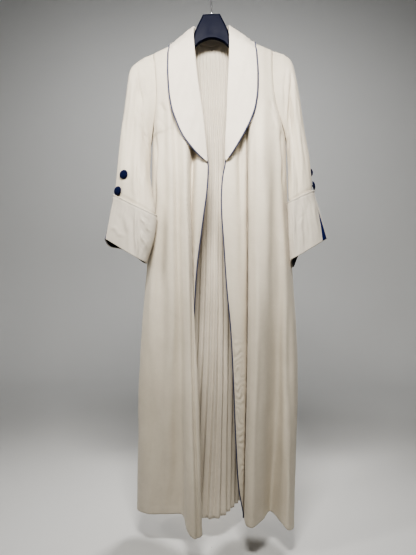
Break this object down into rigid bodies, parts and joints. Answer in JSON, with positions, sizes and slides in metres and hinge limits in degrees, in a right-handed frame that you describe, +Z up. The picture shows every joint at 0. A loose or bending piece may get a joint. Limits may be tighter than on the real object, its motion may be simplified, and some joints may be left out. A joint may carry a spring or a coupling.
{
  "type": "abaya coat on a hanger",
  "caption": "Long open-front abaya coat with a shawl collar, turned-up cuffs, navy piping and a sunray-pleated back, hung on a broad-necked hanger.",
  "frame": {"origin": "inside top of the hook, where the rail carries it", "axes": "+Z up; the open front faces -Y; +X is the wearer's left, the right of the front view"},
  "size_m": [0.6128, 0.2478, 1.5332],
  "materials": {
    "crepe": "matt crepe with a soft sheen",
    "pleated_crepe": "matt crepe in sunray pleats",
    "collar_crepe": "matt crepe, interfaced",
    "cuff_crepe": "matt crepe, topstitched",
    "navy_facing": "matt weave",
    "black_lining": "smooth weave",
    "navy_piping": "satin bias cord",
    "navy_button_cloth": "coarse plain weave",
    "navy_plastic": "satin moulded",
    "chromed_wire": "polished"
  },
  "bodies": {
    "root": {"front_right": "crepe", "front_left": "crepe", "sleeve_right": "crepe", "sleeve_left": "crepe", "back_pleated": "pleated_crepe", "collar": "collar_crepe", "cuff_right": "cuff_crepe", "cuff_left": "cuff_crepe", "slit_facing_right": "navy_facing", "slit_facing_left": "navy_facing", "cuff_lining_right": "black_lining", "cuff_lining_left": "black_lining", "piping_right": "navy_piping", "piping_left": "navy_piping", "piping_collar": "navy_piping", "button_right_1": "navy_button_cloth", "button_right_2": "navy_button_cloth", "button_left_1": "navy_button_cloth", "button_left_2": "navy_button_cloth", "hanger": "navy_plastic", "hook": "chromed_wire"}
  },
  "joints": []
}
